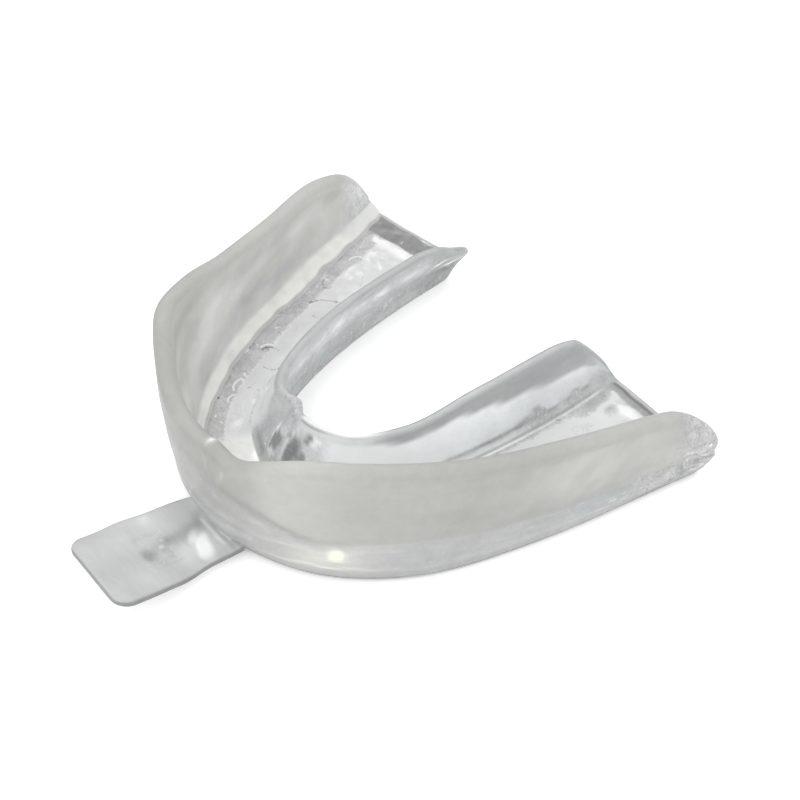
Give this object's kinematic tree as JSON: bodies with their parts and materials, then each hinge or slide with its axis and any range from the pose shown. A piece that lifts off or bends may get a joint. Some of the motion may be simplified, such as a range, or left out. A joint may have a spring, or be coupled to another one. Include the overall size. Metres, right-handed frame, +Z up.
{
  "type": "mouthguard",
  "caption": "U-shaped clear mouthguard tray with an outer wall, bite floor and palate-side wall, legs that flex outwards and a folding front tab.",
  "frame": {"origin": "on the underside of the bite floor, on the mid-line, half way across the front of the floor", "axes": "+Z up, towards the upper gum; +Y towards the throat, where the legs are open; +X to the wearer's left"},
  "size_m": [0.066, 0.0695, 0.0206],
  "materials": {
    "eva_clear": "clear moulded EVA, glossy, slightly rippled",
    "eva_frosted": "milky moulded EVA, satin",
    "eva_tab": "thin pale moulded EVA, satin"
  },
  "bodies": {
    "front": {"front_bite_floor": "eva_clear", "front_labial_wall": "eva_frosted", "front_palatal_wall": "eva_clear"},
    "left_leg": {"left_bite_floor": "eva_clear", "left_buccal_wall": "eva_frosted", "left_palatal_wall": "eva_clear"},
    "right_leg": {"right_bite_floor": "eva_clear", "right_buccal_wall": "eva_frosted", "right_palatal_wall": "eva_clear"},
    "tab": {"front_tab": "eva_tab"}
  },
  "joints": [
    {"name": "left_leg_flex", "type": "hinge", "parent": "front", "child": "left_leg", "pos_m": [0.01375, 0.0088, 0], "axis": [0, 0, -1], "range_deg": [-6, 8], "stiffness_Nm_per_rad": 0.03},
    {"name": "right_leg_flex", "type": "hinge", "parent": "front", "child": "right_leg", "pos_m": [-0.01375, 0.0088, 0], "axis": [0, 0, 1], "range_deg": [-6, 8], "stiffness_Nm_per_rad": 0.03},
    {"name": "tab_fold", "type": "hinge", "parent": "front", "child": "tab", "pos_m": [0, -0.0067, 0.001], "axis": [-1, 0, 0], "range_deg": [-45, 60], "stiffness_Nm_per_rad": 0.005}
  ]
}
